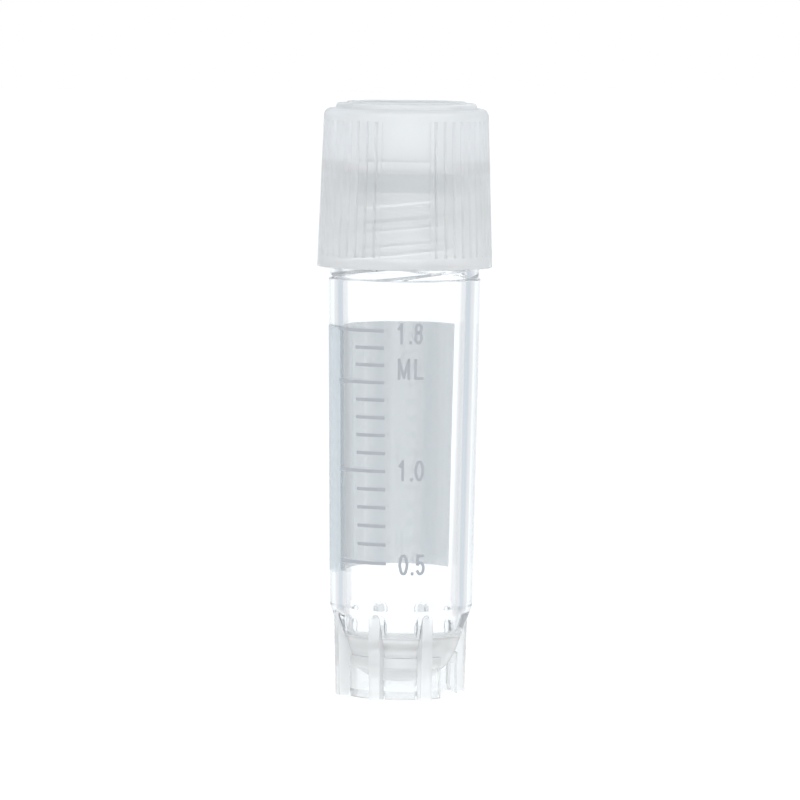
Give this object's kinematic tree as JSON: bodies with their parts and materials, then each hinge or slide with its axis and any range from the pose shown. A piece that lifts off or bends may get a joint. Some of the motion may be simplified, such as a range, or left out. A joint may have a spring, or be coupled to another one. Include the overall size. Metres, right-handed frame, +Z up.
{
  "type": "cryovial",
  "caption": "Self-standing cryogenic vial with a screw cap, a silicone sealing disc, an outside thread and a ribbed star foot.",
  "frame": {"origin": "centre of the foot's underside, on the tube's axis", "axes": "+Z up the tube's axis, -Y towards the graduated front, +X to the right of the front"},
  "size_m": [0.0144, 0.0144, 0.0489],
  "materials": {
    "clear_polypropylene": "clear, smooth moulded polypropylene",
    "cloudy_polypropylene": "natural cloudy moulded polypropylene, satin",
    "silicone": "translucent pale grey silicone"
  },
  "bodies": {
    "vial": {"vial_body": "clear_polypropylene"},
    "gasket": {"silicone_gasket": "silicone"},
    "cap": {"screw_cap": "cloudy_polypropylene"}
  },
  "joints": [
    {"name": "cap_lift", "type": "slide", "parent": "vial", "child": "gasket", "axis": [0, 0, 1], "range_m": [0, 0.014]},
    {"name": "cap_turn", "type": "hinge", "parent": "gasket", "child": "cap", "pos_m": [0, 0, 0.0423], "axis": [0, 0, 1], "range_deg": [0, 1260]}
  ],
  "couplings": [
    {"joint": "cap_turn", "follows": "cap_lift", "rad_per_m": 1570.8}
  ]
}
